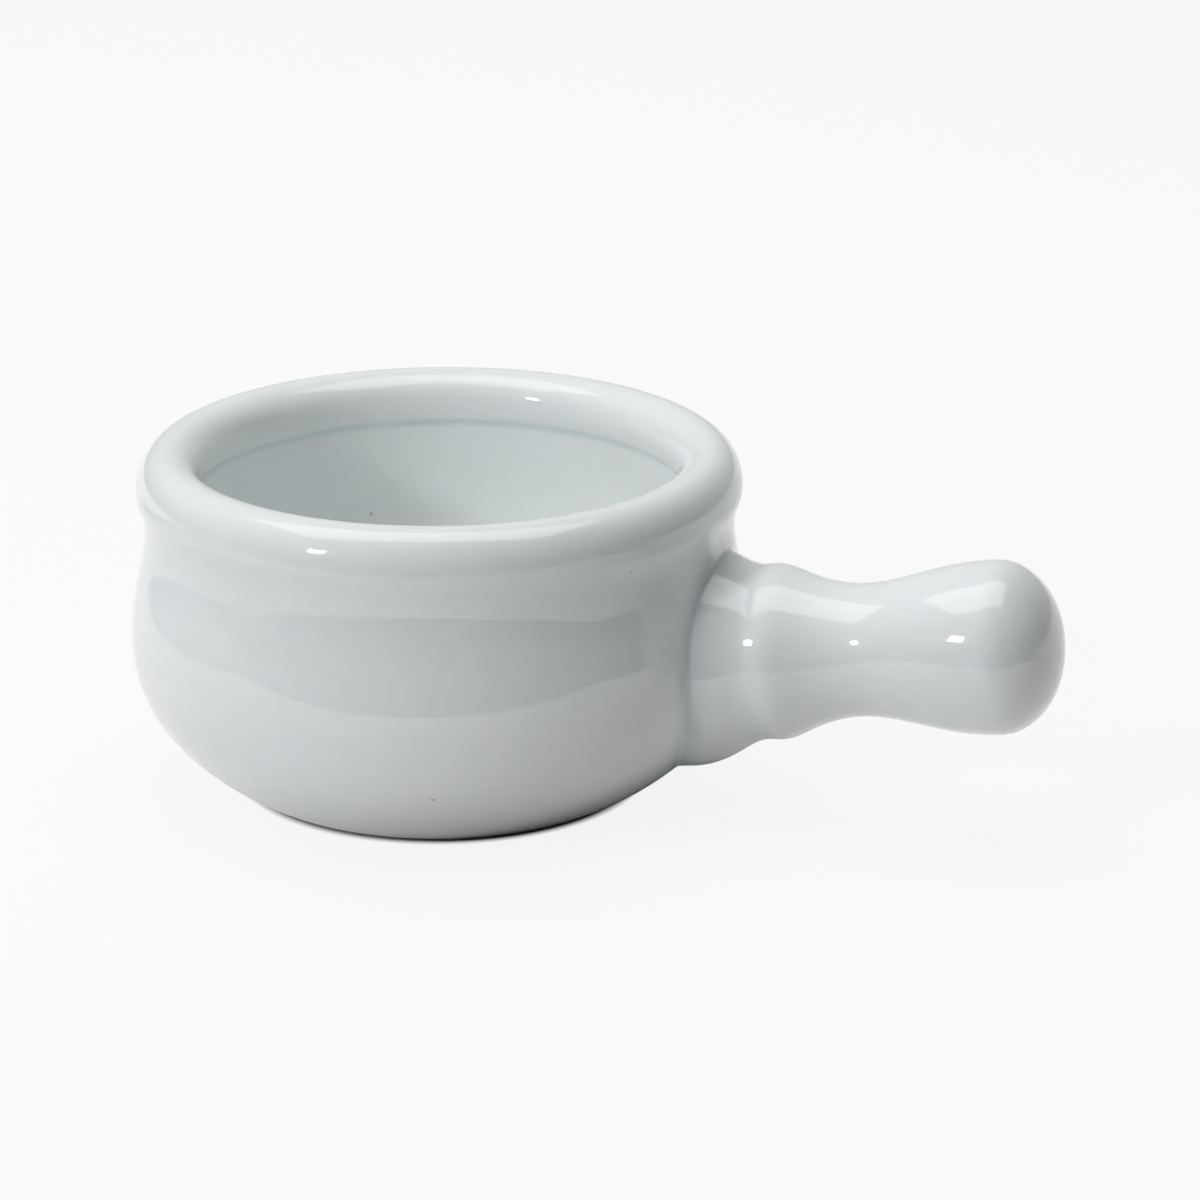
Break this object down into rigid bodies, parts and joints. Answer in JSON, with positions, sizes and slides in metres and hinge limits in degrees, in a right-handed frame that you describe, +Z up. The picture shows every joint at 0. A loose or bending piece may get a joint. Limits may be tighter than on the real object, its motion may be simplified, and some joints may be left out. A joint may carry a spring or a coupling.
{
  "type": "soup crock",
  "caption": "Round white porcelain soup crock with a rolled rim, a soft belly on a small foot ring, and a hollow stub handle with a flared root and a bulbous end.",
  "frame": {"origin": "on the bowl's axis, at the plane of the foot ring that the crock stands on", "axes": "+Z up along the bowl's axis, +X from the bowl's axis towards the handle, +Y to the side"},
  "size_m": [0.1747, 0.1144, 0.0637],
  "materials": {
    "fired_clay": "bare vitrified porcelain, dry and fine-grained, seen only at the foot ring",
    "fired_slip": "fired porcelain slip, hidden under the glaze",
    "white_glaze": "glossy cool-white glaze, slightly wavy, with a few small specks"
  },
  "bodies": {
    "root": {"bowl_body": "fired_clay", "handle_body": "fired_clay", "joint_slip": "fired_slip", "inside_glaze": "white_glaze", "outside_glaze": "white_glaze", "base_glaze": "white_glaze"}
  },
  "joints": []
}
